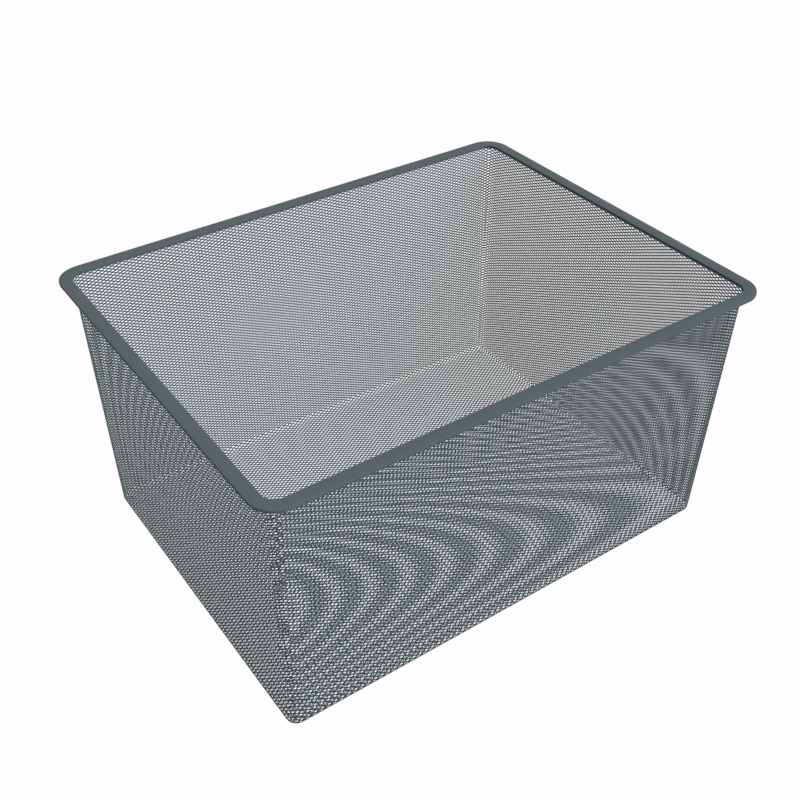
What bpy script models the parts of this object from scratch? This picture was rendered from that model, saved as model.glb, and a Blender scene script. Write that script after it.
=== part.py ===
"""Pull-out mesh drawer of powder-coated steel.

A flat bar is bent into the rim. A band of expanded mesh hangs from it, and a floor panel with
turned-up edges closes the bottom. Units are metres, +Z is up, +X runs along the long side, and the
origin is the middle of the base. The coarse nets stand for a mesh whose real openings are only a few
millimetres wide.
"""

import math

import bmesh
import bpy
from mathutils import Vector

# Rim: the flat bar, lying flat
HEIGHT = 0.2826
RIM_LENGTH = 0.540
RIM_WIDTH = 0.414
BAR_WIDTH = 0.0126
BAR_THICKNESS = 0.0032
BAR_INNER_BEND = 0.0128
BAR_EDGE_CHAMFER = 0.0004

# Mesh: the band round the sides and the floor panel
SHEET = 0.0005
SEAT_UNDER_RIM = 0.0003
LEAN_OF_ENDS = 0.0048
LEAN_OF_LONG_SIDES = 0.0074
FLOOR_BEND = 0.0047
FLOOR_CORNER = 0.0073

# Nets: pitch of the openings along and across the sheet, the width of a strand, and the plain strip
# that is left along the top and the foot of the band
NET_LONG_WAY = 0.098
NET_SHORT_WAY_SIDES = 0.0455
NET_SHORT_WAY_FLOOR = 0.059
NET_STRAND = 0.012
SELVEDGE = 0.005

# Gap between pieces that touch
FIT_GAP = 0.0003

# Fineness: the shortest edge that is kept, the steps in a quarter turn of the bar and of the floor's
# edges, those in an upright bend of the band, and the cells that a net is made too large by on each side
SLIVER = 0.00001
QUARTER_STEPS = 6
UPRIGHT_STEPS = 5
SPARE_CELLS = 1

# Where the mesh meets the rim and the floor
CORNER_RADIUS = FLOOR_CORNER + FLOOR_BEND
WALL_TOP = HEIGHT - BAR_THICKNESS - FIT_GAP
WALL_FOOT = FLOOR_BEND + FIT_GAP
TOP_HALF_X = RIM_LENGTH / 2 - BAR_WIDTH + SEAT_UNDER_RIM
TOP_HALF_Y = RIM_WIDTH / 2 - BAR_WIDTH + SEAT_UNDER_RIM
FOOT_HALF_X = TOP_HALF_X - LEAN_OF_ENDS
FOOT_HALF_Y = TOP_HALF_Y - LEAN_OF_LONG_SIDES
WALL_RISE = WALL_TOP - WALL_FOOT
SIDE_ROWS = max(1, round(WALL_RISE / NET_SHORT_WAY_SIDES))

QUARTER_TURN = math.pi / 2
COAT_GREY = (0.107, 0.130, 0.138)


def powder_coat(name, roughness):
    """Grey epoxy powder baked on steel."""
    coat = bpy.data.materials.new(name)
    coat.use_nodes = True
    shader = coat.node_tree.nodes["Principled BSDF"]
    shader.inputs["Base Color"].default_value = (*COAT_GREY, 1.0)
    shader.inputs["Roughness"].default_value = roughness
    shader.inputs["Metallic"].default_value = 0.0
    return coat


def add_piece(name, mesh, coat, location, rotation=(0.0, 0.0, 0.0)):
    """Puts a piece in the drawer's collection, under its empty."""
    mesh.materials.append(coat)
    piece = bpy.data.objects.new(name, mesh)
    piece.location = location
    piece.rotation_euler = rotation
    piece.parent = drawer
    collection.objects.link(piece)
    return piece


def mesh_from(bm, name):
    """Turns a finished bmesh into a mesh."""
    mesh = bpy.data.meshes.new(name)
    bm.to_mesh(mesh)
    bm.free()
    return mesh


def face_away_from(bm, point):
    """Makes an open surface look away from a point behind it."""
    bmesh.ops.dissolve_degenerate(bm, dist=SLIVER, edges=bm.edges[:])
    bmesh.ops.recalc_face_normals(bm, faces=bm.faces[:])
    widest = max(bm.faces, key=lambda face: face.calc_area())
    if widest.normal.dot(widest.calc_center_median() - Vector(point)) < 0.0:
        bmesh.ops.reverse_faces(bm, faces=bm.faces[:])


def give_thickness(piece):
    """Thickens an outer skin inwards to the sheet it stands for."""
    wall = piece.modifiers.new("sheet", "SOLIDIFY")
    wall.thickness = SHEET
    wall.offset = -1.0
    wall.use_even_offset = True


def quadrant_signs(quadrant):
    """The signs of x and y in a quadrant, counted anticlockwise from the rear right one."""
    return (1, 1, -1, -1)[(quadrant + 1) % 4], (1, 1, -1, -1)[quadrant % 4]


def rounded_outline(curve, half_x, half_y, radius):
    """Adds a closed rectangle with round corners to a flat curve."""
    points = []
    for quadrant in range(4):
        sign_x, sign_y = quadrant_signs(quadrant)
        for step in range(QUARTER_STEPS + 1):
            angle = QUARTER_TURN * (quadrant + step / QUARTER_STEPS)
            x = sign_x * (half_x - radius) + radius * math.cos(angle)
            y = sign_y * (half_y - radius) + radius * math.sin(angle)
            points.append((x, y))
    spline = curve.splines.new("POLY")
    spline.points.add(len(points) - 1)
    for point, (x, y) in zip(spline.points, points):
        point.co = (x, y, 0.0, 1.0)
    spline.use_cyclic_u = True


def make_rim():
    """The flat bar, bent flatwise into a closed ring."""
    curve = bpy.data.curves.new("rim_outline", "CURVE")
    curve.dimensions = "2D"
    curve.fill_mode = "BOTH"
    curve.extrude = BAR_THICKNESS / 2
    outer_bend = BAR_INNER_BEND + BAR_WIDTH
    rounded_outline(curve, RIM_LENGTH / 2, RIM_WIDTH / 2, outer_bend)
    rounded_outline(curve, RIM_LENGTH / 2 - BAR_WIDTH, RIM_WIDTH / 2 - BAR_WIDTH, BAR_INNER_BEND)
    outline = bpy.data.objects.new("rim_outline", curve)
    collection.objects.link(outline)
    bpy.context.view_layer.update()
    flat = bpy.data.meshes.new_from_object(outline.evaluated_get(bpy.context.evaluated_depsgraph_get()))
    bpy.data.objects.remove(outline)
    bm = bmesh.new()
    bm.from_mesh(flat)
    bpy.data.meshes.remove(flat)
    bmesh.ops.remove_doubles(bm, verts=bm.verts[:], dist=SLIVER)
    bmesh.ops.recalc_face_normals(bm, faces=bm.faces[:])
    middle = (0.0, 0.0, HEIGHT - BAR_THICKNESS / 2)
    rim = add_piece("rim_frame", mesh_from(bm, "rim_frame"), rim_coat, middle)
    chamfer = rim.modifiers.new("chamfer", "BEVEL")
    chamfer.width = BAR_EDGE_CHAMFER
    chamfer.segments = 1
    chamfer.limit_method = "ANGLE"


def half_columns_in(width):
    """How many half pitches fit a width: the openings are staggered, so a border can fall on either half."""
    return max(1, round(2 * width / NET_LONG_WAY))


def expanded_net(width, length, half_columns, rows, start, selvedge=0.0):
    """A flat sheet with staggered diamond openings, from x = 0 to its width and y = 0 to its length.

    A grid is poked and its own edges are dissolved, which leaves diamonds. Each is inset by half a
    strand, its middle is taken out except in the two selvedges, and the borders are cut. start is 0
    where the border x = 0 has a knot at its foot, and 1 where an opening is there.
    """
    grid_columns = (half_columns + start + 1) // 2 + 2 * SPARE_CELLS
    grid_rows = rows + 2 * SPARE_CELLS
    bm = bmesh.new()
    bmesh.ops.create_grid(bm, x_segments=grid_columns, y_segments=grid_rows, size=0.5)
    grid_edges = [edge for edge in bm.edges if len(edge.link_faces) == 2]
    bmesh.ops.poke(bm, faces=bm.faces[:])
    bmesh.ops.dissolve_edges(bm, edges=grid_edges, use_verts=False)
    for vert in bm.verts:
        half_column = 2 * ((vert.co.x + 0.5) * grid_columns - SPARE_CELLS) - start
        row = (vert.co.y + 0.5) * grid_rows - SPARE_CELLS
        vert.co.x = half_column * width / half_columns
        vert.co.y = row * length / rows
    open_mark = bm.faces.layers.int.new("open")
    for face in bm.faces:
        face[open_mark] = 1
    strands = bmesh.ops.inset_individual(
        bm, faces=bm.faces[:], thickness=NET_STRAND / 2, use_even_offset=True
    )["faces"]
    for face in strands:
        face[open_mark] = 0
    foot, top = selvedge, length - selvedge
    if selvedge > 0.0:
        cut_away(bm, (0.0, foot, 0.0), (0.0, -1.0, 0.0), keep=True)
        cut_away(bm, (0.0, top, 0.0), (0.0, 1.0, 0.0), keep=True)
    openings = []
    for face in bm.faces:
        inside = selvedge == 0.0 or foot < face.calc_center_median().y < top
        if face[open_mark] and inside:
            openings.append(face)
    bmesh.ops.delete(bm, geom=openings, context="FACES")
    bm.faces.layers.int.remove(open_mark)
    cut_away(bm, (0.0, 0.0, 0.0), (-1.0, 0.0, 0.0))
    cut_away(bm, (width, 0.0, 0.0), (1.0, 0.0, 0.0))
    cut_away(bm, (0.0, 0.0, 0.0), (0.0, -1.0, 0.0))
    cut_away(bm, (0.0, length, 0.0), (0.0, 1.0, 0.0))
    return bm


def cut_away(bm, point, direction, keep=False):
    """Cuts a sheet by a plane and removes what lies beyond it, or keeps both sides of the cut."""
    bmesh.ops.bisect_plane(
        bm,
        geom=bm.verts[:] + bm.edges[:] + bm.faces[:],
        plane_co=point,
        plane_no=direction,
        clear_outer=not keep,
    )


def make_side_band():
    """The band: four flat walls that lean out towards the rim, each followed by a quarter-round bend."""
    sides = ("front", "right", "rear", "left")
    corners = ("front_right", "rear_right", "rear_left", "front_left")
    start = 0
    for quarter in range(4):
        start = make_wall(quarter, sides[quarter], start)
        start = make_corner(quarter, corners[quarter], start)


def make_wall(quarter, side, start):
    """One flat wall of the band, and what the next piece starts with."""
    along_x = quarter % 2 == 0
    foot_half = FOOT_HALF_X if along_x else FOOT_HALF_Y
    top_half = TOP_HALF_X if along_x else TOP_HALF_Y
    distance = FOOT_HALF_Y if along_x else FOOT_HALF_X
    lean = LEAN_OF_LONG_SIDES if along_x else LEAN_OF_ENDS
    foot_width = 2 * (foot_half - CORNER_RADIUS - FIT_GAP)
    top_width = 2 * (top_half - CORNER_RADIUS - FIT_GAP)
    slope = math.hypot(WALL_RISE, lean)
    half_columns = half_columns_in(foot_width)
    bm = expanded_net(foot_width, slope, half_columns, SIDE_ROWS, start, SELVEDGE)
    for vert in bm.verts:
        spread = foot_width + (top_width - foot_width) * vert.co.y / slope
        vert.co.x = (vert.co.x / foot_width - 0.5) * spread
    face_away_from(bm, (0.0, 0.0, -1.0))
    turn = QUARTER_TURN * quarter
    foot = (distance * math.sin(turn), -distance * math.cos(turn), WALL_FOOT)
    tilt = QUARTER_TURN + math.atan2(lean, WALL_RISE)
    mesh = mesh_from(bm, f"side_mesh_{side}")
    give_thickness(add_piece(f"side_mesh_{side}", mesh, side_coat, foot, (tilt, 0.0, turn)))
    return (start + half_columns) % 2


def make_corner(quarter, corner, start):
    """One upright bend of the band, half a pitch wide, and what the next piece starts with."""
    sign_x, sign_y = quadrant_signs(quarter - 1)
    lean = Vector((sign_x * LEAN_OF_ENDS, sign_y * LEAN_OF_LONG_SIDES, WALL_RISE))
    arc = CORNER_RADIUS * QUARTER_TURN
    bm = expanded_net(arc, WALL_RISE, 1, SIDE_ROWS, start, SELVEDGE)
    for step in range(1, UPRIGHT_STEPS):
        cut_away(bm, (arc * step / UPRIGHT_STEPS, 0.0, 0.0), (1.0, 0.0, 0.0), keep=True)
    for vert in bm.verts:
        angle = QUARTER_TURN * (quarter - 1) + vert.co.x / CORNER_RADIUS
        around = Vector((math.cos(angle), math.sin(angle), 0.0)) * CORNER_RADIUS
        vert.co = around + lean * vert.co.y / WALL_RISE
    face_away_from(bm, lean / 2)
    centre = (sign_x * (FOOT_HALF_X - CORNER_RADIUS), sign_y * (FOOT_HALF_Y - CORNER_RADIUS), WALL_FOOT)
    mesh = mesh_from(bm, f"corner_mesh_{corner}")
    give_thickness(add_piece(f"corner_mesh_{corner}", mesh, side_coat, centre))
    return (start + 1) % 2


def bend_profile(bm, start_x):
    """The floor's turned-up edge in section: a quarter round in the XZ plane, level at start_x."""
    start = bm.verts.new((start_x, 0.0, 0.0))
    bmesh.ops.spin(
        bm,
        geom=[start],
        axis=(0.0, -1.0, 0.0),
        cent=(start_x, 0.0, FLOOR_BEND),
        angle=QUARTER_TURN,
        steps=QUARTER_STEPS,
    )


def make_floor_edges():
    """The four straight turned-up edges of the floor panel."""
    runs = {
        "long": (FOOT_HALF_X, FOOT_HALF_Y),
        "end": (FOOT_HALF_Y, FOOT_HALF_X),
    }
    sides = (("right", "end"), ("rear", "long"), ("left", "end"), ("front", "long"))
    for quarter, (side, run) in enumerate(sides):
        half_run, distance = runs[run]
        length = 2 * (half_run - CORNER_RADIUS - FIT_GAP)
        bm = bmesh.new()
        bend_profile(bm, 0.0)
        bmesh.ops.translate(bm, verts=bm.verts[:], vec=(0.0, -length / 2, 0.0))
        drawn = bmesh.ops.extrude_edge_only(bm, edges=bm.edges[:])
        moved = [item for item in drawn["geom"] if isinstance(item, bmesh.types.BMVert)]
        bmesh.ops.translate(bm, verts=moved, vec=(0.0, length, 0.0))
        face_away_from(bm, (0.0, 0.0, FLOOR_BEND))
        turn = QUARTER_TURN * quarter
        reach = distance - FLOOR_BEND
        place = (reach * math.cos(turn), reach * math.sin(turn), 0.0)
        mesh = mesh_from(bm, f"floor_edge_{side}")
        give_thickness(add_piece(f"floor_edge_{side}", mesh, floor_coat, place, (0.0, 0.0, turn)))


def make_floor_corners():
    """The four rounded corners of the floor panel, where two turned-up edges meet."""
    names = ("rear_right", "rear_left", "front_left", "front_right")
    for quadrant, name in enumerate(names):
        sign_x, sign_y = quadrant_signs(quadrant)
        bm = bmesh.new()
        bend_profile(bm, FLOOR_CORNER)
        bmesh.ops.spin(
            bm,
            geom=bm.verts[:] + bm.edges[:],
            axis=(0.0, 0.0, 1.0),
            cent=(0.0, 0.0, 0.0),
            angle=QUARTER_TURN,
            steps=QUARTER_STEPS,
        )
        inside = FLOOR_CORNER / 2
        face_away_from(bm, (inside, inside, FLOOR_BEND))
        centre = (sign_x * (FOOT_HALF_X - CORNER_RADIUS), sign_y * (FOOT_HALF_Y - CORNER_RADIUS), 0.0)
        turn = QUARTER_TURN * quadrant
        mesh = mesh_from(bm, f"floor_corner_{name}")
        give_thickness(add_piece(f"floor_corner_{name}", mesh, floor_coat, centre, (0.0, 0.0, turn)))


def make_floor_net():
    """The flat middle of the floor panel, with its four corners cut off inside the rounded ones.

    It has a whole number of columns, so that a knot lies in each corner.
    """
    half_x = FOOT_HALF_X - FLOOR_BEND - FIT_GAP
    half_y = FOOT_HALF_Y - FLOOR_BEND - FIT_GAP
    rows = max(1, round(2 * half_y / NET_SHORT_WAY_FLOOR))
    columns = max(1, round(2 * half_x / NET_LONG_WAY))
    bm = expanded_net(2 * half_x, 2 * half_y, 2 * columns, rows, 0)
    bmesh.ops.translate(bm, verts=bm.verts[:], vec=(-half_x, -half_y, 0.0))
    cut = FLOOR_CORNER / 2 - FIT_GAP
    for sign_x in (-1, 1):
        for sign_y in (-1, 1):
            x = sign_x * (FOOT_HALF_X - CORNER_RADIUS + cut)
            y = sign_y * (FOOT_HALF_Y - CORNER_RADIUS + cut)
            cut_away(bm, (x, y, 0.0), (sign_x, sign_y, 0.0))
    face_away_from(bm, (0.0, 0.0, 1.0))
    mesh = mesh_from(bm, "floor_mesh")
    give_thickness(add_piece("floor_mesh", mesh, floor_coat, (0.0, 0.0, 0.0)))


for leftover in list(bpy.data.objects):
    bpy.data.objects.remove(leftover)

collection = bpy.data.collections.new("pull_out_mesh_drawer")
bpy.context.scene.collection.children.link(collection)
drawer = bpy.data.objects.new("drawer", None)
collection.objects.link(drawer)

rim_coat = powder_coat("rim_coat", 0.45)
side_coat = powder_coat("side_mesh_coat", 0.5)
floor_coat = powder_coat("floor_mesh_coat", 0.5)

make_rim()
make_side_band()
make_floor_net()
make_floor_edges()
make_floor_corners()
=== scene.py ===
"""Pull-out mesh drawer of powder-coated steel: a flat rim, a band of fine expanded mesh and a floor panel.

Everything is in metres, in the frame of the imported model. The fine mesh has its true pitch here, in place of
the coarse nets that stand for it.
"""

import math
from collections import namedtuple

import bmesh
import bpy
from mathutils import Matrix, Vector


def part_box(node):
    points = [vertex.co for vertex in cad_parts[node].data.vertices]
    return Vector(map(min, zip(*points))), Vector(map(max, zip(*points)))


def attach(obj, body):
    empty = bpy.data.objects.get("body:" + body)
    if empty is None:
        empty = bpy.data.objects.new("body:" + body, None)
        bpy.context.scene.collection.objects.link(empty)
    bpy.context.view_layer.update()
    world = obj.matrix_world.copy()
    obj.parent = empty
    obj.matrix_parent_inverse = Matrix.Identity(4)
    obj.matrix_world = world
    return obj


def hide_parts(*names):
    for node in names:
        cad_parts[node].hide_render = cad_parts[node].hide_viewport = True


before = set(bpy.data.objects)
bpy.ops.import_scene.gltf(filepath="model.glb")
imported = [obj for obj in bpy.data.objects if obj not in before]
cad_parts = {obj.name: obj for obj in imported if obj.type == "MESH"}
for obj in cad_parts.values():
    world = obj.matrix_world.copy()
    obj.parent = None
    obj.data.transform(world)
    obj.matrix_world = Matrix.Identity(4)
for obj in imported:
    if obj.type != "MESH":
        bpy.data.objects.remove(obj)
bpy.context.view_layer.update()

# Rim
# One flat steel bar, bent flatwise into a rounded rectangle and butt-welded into a closed ring. Its edges
# are dressed to a small radius, and a satin grey powder coat is baked over it.
BAR_WIDTH = 0.0126
BAR_INNER_BEND = 0.0128
BAR_EDGE_RADIUS = 0.00045
RIM_BEND_STEPS = 28
EDGE_STEPS = 4
SQUARE_ABOVE = math.radians(60.0)
SMOOTH_BELOW = math.radians(15.0)
COAT_GREY = (0.102, 0.128, 0.134)
COAT_SHADE = 0.05
COAT_ROUGHNESS = 0.75
ROUGHNESS_SHADE = 0.05
COAT_GLOSS = 0.08
CLOUD_WIDTH = 0.09
CLOUD_DETAIL = 2.0
PEEL_WIDTH = 0.0011
PEEL_DETAIL = 1.0
PEEL_HEIGHT = 0.00002

rim_low, rim_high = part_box("rim_frame")


class Number:
    """A number on its way through a network of nodes. Arithmetic on it adds Math nodes."""

    def __init__(self, network, socket):
        self.network = network
        self.socket = socket

    def worked(self, operation, first, second):
        math_node = self.network.node("ShaderNodeMath", {"operation": operation}, {0: first, 1: second})
        return Number(self.network, math_node.outputs[0])

    def __add__(self, other):
        return self.worked("ADD", self, other)

    def __radd__(self, other):
        return self.worked("ADD", other, self)

    def __mul__(self, other):
        return self.worked("MULTIPLY", self, other)

    def __rmul__(self, other):
        return self.worked("MULTIPLY", other, self)


class Network:
    """The nodes of a material or of the sky."""

    def __init__(self, owner):
        owner.use_nodes = True
        self.tree = owner.node_tree

    def node(self, kind, settings, values):
        """Adds a node, with its settings first, and then the values or links of its sockets."""
        added = self.tree.nodes.new(kind)
        for setting, value in settings.items():
            setattr(added, setting, value)
        for socket, value in values.items():
            self.feed(added.inputs[socket], value)
        return added

    def feed(self, socket, value):
        """Sets a socket to a value, or links it to a Number or to another node's socket."""
        if isinstance(value, Number):
            value = value.socket
        if isinstance(value, bpy.types.NodeSocket):
            self.tree.links.new(value, socket)
        else:
            socket.default_value = value

    def noise(self, width, detail):
        """Noise whose spots are about this wide on the piece, as a Number round 0.5."""
        place = self.node("ShaderNodeTexCoord", {}, {}).outputs["Object"]
        spots = self.node("ShaderNodeTexNoise", {}, {"Vector": place, "Scale": 1.0 / width, "Detail": detail})
        return Number(self, spots.outputs["Fac"])


def powder_coat(name, grey):
    """Epoxy powder, baked: an even grey with faint clouds, a satin sheen and a fine orange peel."""
    coat = bpy.data.materials.new(name)
    network = Network(coat)
    clouds = network.noise(CLOUD_WIDTH, CLOUD_DETAIL)
    peel = network.noise(PEEL_WIDTH, PEEL_DETAIL)
    pale = tuple(channel * (1.0 + COAT_SHADE) for channel in grey)
    deep = tuple(channel * (1.0 - COAT_SHADE) for channel in grey)
    shade = network.node(
        "ShaderNodeMix", {"data_type": "RGBA"}, {"Factor": clouds, "A": (*deep, 1.0), "B": (*pale, 1.0)}
    )
    roughness = COAT_ROUGHNESS - ROUGHNESS_SHADE + 2.0 * ROUGHNESS_SHADE * clouds
    bump = network.node("ShaderNodeBump", {}, {"Height": peel, "Distance": PEEL_HEIGHT, "Strength": 1.0})
    surface = network.tree.nodes["Principled BSDF"].inputs
    network.feed(surface["Base Color"], shade.outputs["Result"])
    network.feed(surface["Roughness"], roughness)
    network.feed(surface["Normal"], bump.outputs["Normal"])
    network.feed(surface["Metallic"], 0.0)
    network.feed(surface["Specular IOR Level"], COAT_GLOSS)
    return coat


def add_piece(name, bm, coat, nodes):
    """Makes a piece of a bmesh, rides it on the drawer and lets it stand for its CAD nodes."""
    mesh = bpy.data.meshes.new(name)
    bm.to_mesh(mesh)
    bm.free()
    mesh.materials.append(coat)
    mesh.shade_smooth()
    mesh.set_sharp_from_angle(angle=SMOOTH_BELOW)
    piece = bpy.data.objects.new(name, mesh)
    bpy.context.scene.collection.objects.link(piece)
    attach(piece, "root")
    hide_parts(*nodes)


def make_rim():
    """A rectangle with its corners rounded, inset by the bar's width, drawn up to the bar's thickness."""
    bm = bmesh.new()
    bmesh.ops.create_grid(bm, x_segments=1, y_segments=1, size=0.5)
    bmesh.ops.scale(bm, verts=bm.verts[:], vec=(rim_high.x - rim_low.x, rim_high.y - rim_low.y, 1.0))
    bmesh.ops.bevel(
        bm,
        geom=bm.verts[:],
        offset=BAR_INNER_BEND + BAR_WIDTH,
        offset_type="OFFSET",
        segments=RIM_BEND_STEPS,
        profile=0.5,
        affect="VERTICES",
        material=-1,
    )
    middle = bm.faces[:]
    bmesh.ops.inset_region(bm, faces=middle, thickness=BAR_WIDTH, use_boundary=True, use_even_offset=True)
    bmesh.ops.delete(bm, geom=middle, context="FACES")
    bmesh.ops.translate(bm, verts=bm.verts[:], vec=(0.0, 0.0, rim_low.z))
    drawn = bmesh.ops.extrude_face_region(bm, geom=bm.faces[:], use_keep_orig=True)
    raised = [item for item in drawn["geom"] if isinstance(item, bmesh.types.BMVert)]
    bmesh.ops.translate(bm, verts=raised, vec=(0.0, 0.0, rim_high.z - rim_low.z))
    bmesh.ops.recalc_face_normals(bm, faces=bm.faces[:])
    corners = [edge for edge in bm.edges if edge.calc_face_angle(0.0) > SQUARE_ABOVE]
    bmesh.ops.bevel(
        bm,
        geom=corners,
        offset=BAR_EDGE_RADIUS,
        offset_type="OFFSET",
        segments=EDGE_STEPS,
        profile=0.5,
        affect="EDGES",
        material=-1,
    )
    add_piece("rim", bm, powder_coat("rim_coat", COAT_GREY), ["rim_frame"])


make_rim()

# Side mesh
# Expanded steel mesh, slit and stretched from thin sheet, wrapped round the four sides with round upright
# bends. Its rows lie level, and where the walls lean, the columns run out into a seam up each bend. Its top
# edge is welded under the rim.
LONG_WAY = 0.007218
SHORT_WAY = 0.003434
STRAND = 0.00104
WALL_TILT = 0.20
SHEET = 0.0002
CORNER_RADIUS = 0.012
HALF_BEND = CORNER_RADIUS * math.pi / 4
SPARE_ROWS = 2
SLIVER = 0.000002
SIDES = ("front", "right", "rear", "left")
CORNERS = ("front_right", "rear_right", "rear_left", "front_left")
# Grey of the mesh's powder coat: the rim's coat, darkened with painted shade that stands for the shade among
# the fine strands
MESH_GREY_WITH_PAINTED_SHADE = (0.078, 0.111, 0.128)

# Where an opening's middle lies, in columns from each wall's middle and in rows from its foot, for SIDES
WALL_OPENINGS = ((0.849, 0.512), (0.309, 0.638), (0.119, 0.537), (0.597, 0.443))

# How much more mesh than room the two nets of a corner each have, for CORNERS
SEAM_SPARE = (0.0, 0.00165, 0.0, 0.0)

# The spare mesh is taken up over the bend and over this much of the flat wall beside it
SETTLING = 0.020

wall_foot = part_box("side_mesh_front")[0].z
wall_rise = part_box("side_mesh_front")[1].z - wall_foot

# How far out the long walls and the short walls stand, at their top and at their foot
top_reach = (-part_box("side_mesh_front")[0].y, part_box("side_mesh_right")[1].x)
foot_reach = (-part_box("floor_edge_front")[0].y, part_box("floor_edge_right")[1].x)

# The welds leave no gap: the band reaches down to the floor panel's edge and up into the rim's rounded edge
lower_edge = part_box("floor_edge_front")[1].z - wall_foot
upper_edge = rim_low.z + BAR_EDGE_RADIUS - wall_foot

# Stretching tilts a mesh's strands: each opening slopes through the sheet by the tilt
Mesh = namedtuple("Mesh", "short_way strand tilt opening")


def cut(bm, point, direction):
    """Cuts a sheet by a plane and removes what lies beyond it. No sliver is left along the cut."""
    bmesh.ops.bisect_plane(
        bm,
        geom=bm.verts[:] + bm.edges[:] + bm.faces[:],
        dist=SLIVER,
        plane_co=point,
        plane_no=direction,
        clear_outer=True,
    )


def is_beyond(point, flat):
    """Whether a point of a sheet lies outside its flat stretch."""
    return abs(point.x) > flat[0] or abs(point.y) > flat[1]


def expanded_sheet(kind, first, last, low, high, pressed_strand=None, flat=(math.inf, math.inf)):
    """A net of staggered diamonds from column first to last, cut straight at y = low and high.

    Each inner edge of a grid becomes a diamond, from its ends to the middles of the two cells beside it, and
    is inset by half a strand. Beyond the flat stretch, where the sheet is bent, pressing has flattened and
    widened the strands. The other two borders run zigzag along the strands, so that the next net fits on.
    """
    column, row = kind.opening
    columns = last - first
    first_row = math.floor(low / kind.short_way) - SPARE_ROWS
    rows = math.ceil(high / kind.short_way) + SPARE_ROWS - first_row
    bm = bmesh.new()
    bmesh.ops.create_grid(bm, x_segments=columns + 1, y_segments=rows, size=0.5)
    grid_edges = [edge for edge in bm.edges if len(edge.link_faces) == 2]
    bmesh.ops.poke(bm, faces=bm.faces[:])
    bmesh.ops.dissolve_edges(bm, edges=grid_edges, use_verts=False)
    bmesh.ops.translate(bm, verts=bm.verts[:], vec=(0.5, 0.5, 0.0))
    bmesh.ops.scale(bm, verts=bm.verts[:], vec=((columns + 1) * LONG_WAY, rows * kind.short_way, 1.0))
    # The diamonds' middles lie half a column apart, so this is past the last ones that are kept
    end = (columns + 0.25) * LONG_WAY
    surplus = [face for face in bm.faces if len(face.verts) == 3 or face.calc_center_median().x > end]
    bmesh.ops.delete(bm, geom=surplus, context="FACES")
    # A diamond over an upright edge of the grid comes to the opening's place, and the sheet lies so far in
    # that no tilted strand passes its outer skin
    lift = abs(kind.tilt) * kind.short_way / 2
    place = ((first + column) * LONG_WAY, (first_row + row - 0.5) * kind.short_way, lift)
    bmesh.ops.translate(bm, verts=bm.verts[:], vec=place)
    openings = bm.faces[:]
    for bent, strand in ((False, kind.strand), (True, pressed_strand)):
        group = [face for face in openings if is_beyond(face.calc_center_median(), flat) == bent]
        if group:
            bmesh.ops.inset_individual(bm, faces=group, thickness=strand / 2, use_even_offset=True)
    for face in openings:
        middle = face.calc_center_median()
        if is_beyond(middle, flat):
            continue
        for vert in face.verts:
            vert.co.z += kind.tilt * (vert.co.y - middle.y)
    bmesh.ops.delete(bm, geom=openings, context="FACES")
    cut(bm, (0.0, low, 0.0), (0.0, -1.0, 0.0))
    cut(bm, (0.0, high, 0.0), (0.0, 1.0, 0.0))
    return bm


def press(bm, place):
    """Gives a flat net its thickness and its shape. place gives a point of the outer skin and the way in.

    A net's many openings can mislead the search for its outside, so its volume has the last word.
    """
    drawn = bmesh.ops.extrude_face_region(bm, geom=bm.faces[:], use_keep_orig=True)
    inner = [item for item in drawn["geom"] if isinstance(item, bmesh.types.BMVert)]
    bmesh.ops.translate(bm, verts=inner, vec=(0.0, 0.0, SHEET))
    for vert in bm.verts:
        point, inwards = place(vert.co.x, vert.co.y)
        vert.co = point + inwards * vert.co.z
    bmesh.ops.recalc_face_normals(bm, faces=bm.faces[:])
    if bm.calc_volume(signed=True) < 0.0:
        bmesh.ops.reverse_faces(bm, faces=bm.faces[:])


def reach_at(wall, rise):
    """How far a wall's outer skin lies from the drawer's middle at a height above the walls' foot."""
    foot, top = foot_reach[wall % 2], top_reach[wall % 2]
    return foot + (top - foot) * rise / wall_rise


def reach_of_net(wall, rise):
    """How far a wall's nets reach from its middle to the middle of a bend, along the sheet."""
    return reach_at(wall + 1, rise) - CORNER_RADIUS + HALF_BEND


def seam_shift(corner, rise):
    """How far past the middle of its bend a seam stands at a height, so that its nets' strands meet.

    At the rim it halves what the nets' columns are off by, and further down both nets lose the same length.
    """
    before_top, after_top = reach_of_net(corner, wall_rise), reach_of_net(corner + 1, wall_rise)
    before = before_top / LONG_WAY - WALL_OPENINGS[corner][0]
    after = after_top / LONG_WAY + WALL_OPENINGS[(corner + 1) % len(SIDES)][0]
    lost_before = before_top - reach_of_net(corner, rise)
    lost_after = after_top - reach_of_net(corner + 1, rise)
    return (math.remainder(after - before, 1.0) * LONG_WAY + lost_before - lost_after) / 2


def on_the_wall(wall, along, rise, spare):
    """A point of a wall's outer skin or of the bends beside it, and the way in from there.

    along is measured on the net from the wall's middle, before its spare length is taken up.
    """
    run = reach_at(wall + 1, rise) - CORNER_RADIUS
    settled = SETTLING + HALF_BEND
    last = max(0.0, abs(along) - run + SETTLING)
    travel = abs(along) - last + last * settled / (settled + spare)
    angle = max(0.0, travel - run) / CORNER_RADIUS
    side = min(travel, run) + CORNER_RADIUS * math.sin(angle)
    out = reach_at(wall, rise) - CORNER_RADIUS * (1.0 - math.cos(angle))
    turn = Matrix.Rotation(math.pi / 2 * wall, 3, "Z")
    point = turn @ Vector((math.copysign(side, along), -out, wall_foot + rise))
    return point, turn @ Vector((-math.copysign(math.sin(angle), along), math.cos(angle), 0.0))


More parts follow.
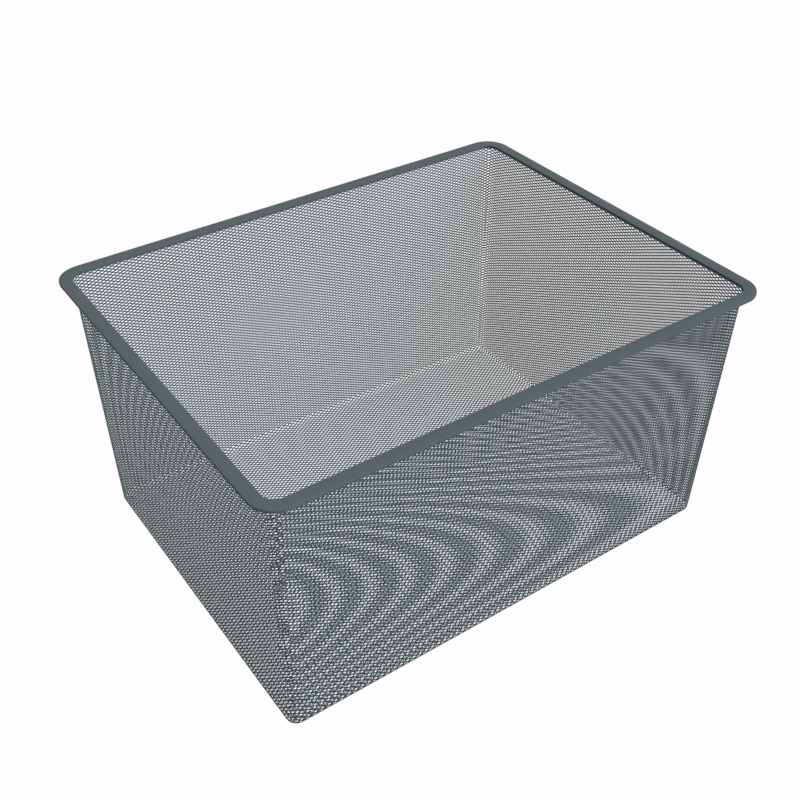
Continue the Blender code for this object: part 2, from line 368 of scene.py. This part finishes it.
def make_side_mesh(coat):
    """Two nets to each wall, from its middle to a seam up each bend, where they meet the next wall's."""
    for wall, side in enumerate(SIDES):
        kind = Mesh(SHORT_WAY, STRAND, WALL_TILT, WALL_OPENINGS[wall])
        for corner, way in ((wall, 1), ((wall - 1) % len(SIDES), -1)):
            spare = SEAM_SPARE[corner]
            foot_end = reach_of_net(wall, 0.0) + spare + way * seam_shift(corner, 0.0)
            top_end = reach_of_net(wall, wall_rise) + spare + way * seam_shift(corner, wall_rise)
            columns = math.ceil(top_end / LONG_WAY) + 1
            first = 0 if way > 0 else -columns
            bm = expanded_sheet(kind, first, first + columns, lower_edge, upper_edge)
            cut(bm, (way * foot_end, 0.0, 0.0), (way * wall_rise, foot_end - top_end, 0.0))
            press(bm, lambda along, rise: on_the_wall(wall, along, rise, spare))
            nodes = [f"side_mesh_{side}", f"corner_mesh_{CORNERS[corner]}"]
            add_piece(f"side_mesh_{side}_at_{CORNERS[corner]}", bm, coat, nodes)


# The side mesh's coat carries painted shade in its darker grey
make_side_mesh(powder_coat("side_mesh_coat", MESH_GREY_WITH_PAINTED_SHADE))

# Floor mesh
# One panel of the same kind of mesh, stretched a little wider. Its four edges are turned up by a pressed bend
# with rounded corners, and welded to the lower edge of the band.
FLOOR_SHORT_WAY = 0.004345
FLOOR_STRAND = 0.00105
PRESSED_STRAND = 0.0014
FLOOR_TILT = -0.24

# Where an opening's middle lies, in columns and rows from the panel's middle
FLOOR_OPENING = (0.419, 0.700)

floor_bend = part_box("floor_edge_front")[1].z
floor_corner = CORNER_RADIUS - floor_bend
flat_x = foot_reach[1] - floor_bend
flat_y = foot_reach[0] - floor_bend
bend_run = floor_bend * math.pi / 2


def on_the_bend(distance, start):
    """How far out and how far up a sheet has come at a distance, and its slope, if it bends up from start."""
    if distance <= start:
        return distance, 0.0, 0.0
    angle = (distance - start) / floor_bend
    return start + floor_bend * math.sin(angle), floor_bend * (1.0 - math.cos(angle)), angle


def on_the_floor(along, across):
    """A point of the floor panel's outer skin, which is its underside, and the way in from there."""
    core_x = flat_x - floor_corner
    core_y = flat_y - floor_corner
    over_x = abs(along) - core_x
    over_y = abs(across) - core_y
    # At the panel's corners pressing has drawn square rings of the sheet into round ones
    if over_x > 0.0 and over_y > 0.0:
        spread = max(over_x, over_y)
        if over_x >= over_y:
            way = over_y / spread * math.pi / 4
        else:
            way = math.pi / 2 - over_x / spread * math.pi / 4
    else:
        core_x = min(core_x, abs(along))
        core_y = min(core_y, abs(across))
        spread = max(over_x, over_y, 0.0)
        way = 0.0 if over_x > over_y else math.pi / 2
    out, up, angle = on_the_bend(spread, floor_corner)
    sign_x = math.copysign(1.0, along)
    sign_y = math.copysign(1.0, across)
    point = Vector((sign_x * (core_x + out * math.cos(way)), sign_y * (core_y + out * math.sin(way)), up))
    level = -math.sin(angle)
    return point, Vector((sign_x * math.cos(way) * level, sign_y * math.sin(way) * level, math.cos(angle)))


def make_floor_mesh(coat):
    """The floor panel in two halves, which meet in the middle of a strand."""
    panel_x = flat_x + bend_run
    panel_y = flat_y + bend_run
    columns = math.ceil(panel_x / LONG_WAY) + 1
    kind = Mesh(FLOOR_SHORT_WAY, FLOOR_STRAND, FLOOR_TILT, FLOOR_OPENING)
    for side, first, way in (("left", -columns, -1), ("right", 0, 1)):
        last = first + columns
        bm = expanded_sheet(kind, first, last, -panel_y, panel_y, PRESSED_STRAND, (flat_x, flat_y))
        cut(bm, (way * panel_x, 0.0, 0.0), (way, 0.0, 0.0))
        press(bm, on_the_floor)
        nodes = ["floor_mesh", "floor_edge_front", "floor_edge_rear", f"floor_edge_{side}"]
        nodes += [f"floor_corner_front_{side}", f"floor_corner_rear_{side}"]
        add_piece(f"floor_mesh_{side}", bm, coat, nodes)


# The floor mesh's coat carries painted shade in its darker grey
make_floor_mesh(powder_coat("floor_mesh_coat", MESH_GREY_WITH_PAINTED_SHADE))

# Studio
# A plain white floor under a white sky, one soft lamp from the front right, and the camera where the
# photograph was taken.
CAMERA_AZIMUTH = math.radians(-34.815)
CAMERA_ELEVATION = math.radians(37.603)
CAMERA_PLACE = (-0.5189, -0.7374, 0.8363)
LENS = 50.0
SENSOR = 36.0
SKY_LIGHT = 0.40
LAMP_LIGHT = 2.7
LAMP_DIRECTION = (0.45, -0.65, 0.61)
LAMP_SPREAD = math.radians(40.0)
FLOOR_SIZE = 12.0
FLOOR_DROP = 0.0006
WHITE = (1.0, 1.0, 1.0, 1.0)
PAPER_GREY = (0.35, 0.35, 0.35, 1.0)
PAPER_GLOW = 0.98


def seen_directly(network):
    """1 for what the camera sees, also by a mirror or through glass, and 0 for what lights the drawer."""
    path = network.node("ShaderNodeLightPath", {}, {}).outputs
    seen = Number(network, path["Is Camera Ray"])
    for name in ("Is Glossy Ray", "Is Transmission Ray"):
        seen = seen.worked("MAXIMUM", seen, path[name])
    return seen


def make_floor():
    """A wide sheet of paper that looks white, because it mostly glows, and takes a trace of shadow."""
    bm = bmesh.new()
    bmesh.ops.create_grid(bm, x_segments=1, y_segments=1, size=FLOOR_SIZE / 2)
    bmesh.ops.translate(bm, verts=bm.verts[:], vec=(0.0, 0.0, -FLOOR_DROP))
    mesh = bpy.data.meshes.new("studio_floor")
    bm.to_mesh(mesh)
    bm.free()
    floor = bpy.data.objects.new("studio_floor", mesh)
    bpy.context.scene.collection.objects.link(floor)
    paper = bpy.data.materials.new("white_paper")
    network = Network(paper)
    network.tree.nodes.clear()
    matt = network.node("ShaderNodeBsdfDiffuse", {}, {"Color": PAPER_GREY}).outputs[0]
    glow = network.node("ShaderNodeEmission", {}, {"Color": WHITE}).outputs[0]
    share = seen_directly(network) * PAPER_GLOW
    mix = network.node("ShaderNodeMixShader", {}, {0: share, 1: matt, 2: glow})
    network.node("ShaderNodeOutputMaterial", {}, {"Surface": mix.outputs[0]})
    mesh.materials.append(paper)


def make_sky():
    """A white sky for the camera, and a dimmer one that lights the drawer."""
    world = bpy.data.worlds.new("studio_sky")
    bpy.context.scene.world = world
    network = Network(world)
    background = network.tree.nodes["Background"].inputs
    network.feed(background["Color"], WHITE)
    network.feed(background["Strength"], SKY_LIGHT + (1.0 - SKY_LIGHT) * seen_directly(network))


def make_lamp():
    """A wide soft lamp, high up at the front right of the drawer."""
    light = bpy.data.lights.new("soft_lamp", "SUN")
    light.energy = LAMP_LIGHT
    light.angle = LAMP_SPREAD
    lamp = bpy.data.objects.new("soft_lamp", light)
    lamp.rotation_euler = Vector(LAMP_DIRECTION).to_track_quat("Z", "Y").to_euler()
    bpy.context.scene.collection.objects.link(lamp)


def make_camera():
    """The photograph's view, from above the front left corner."""
    lens = bpy.data.cameras.new("camera")
    lens.lens = LENS
    lens.sensor_width = SENSOR
    camera = bpy.data.objects.new("camera", lens)
    camera.location = CAMERA_PLACE
    camera.rotation_euler = (math.pi / 2 - CAMERA_ELEVATION, 0.0, CAMERA_AZIMUTH)
    bpy.context.scene.collection.objects.link(camera)
    bpy.context.scene.camera = camera


make_floor()
make_sky()
make_lamp()
make_camera()
bpy.context.scene.view_settings.view_transform = "Standard"
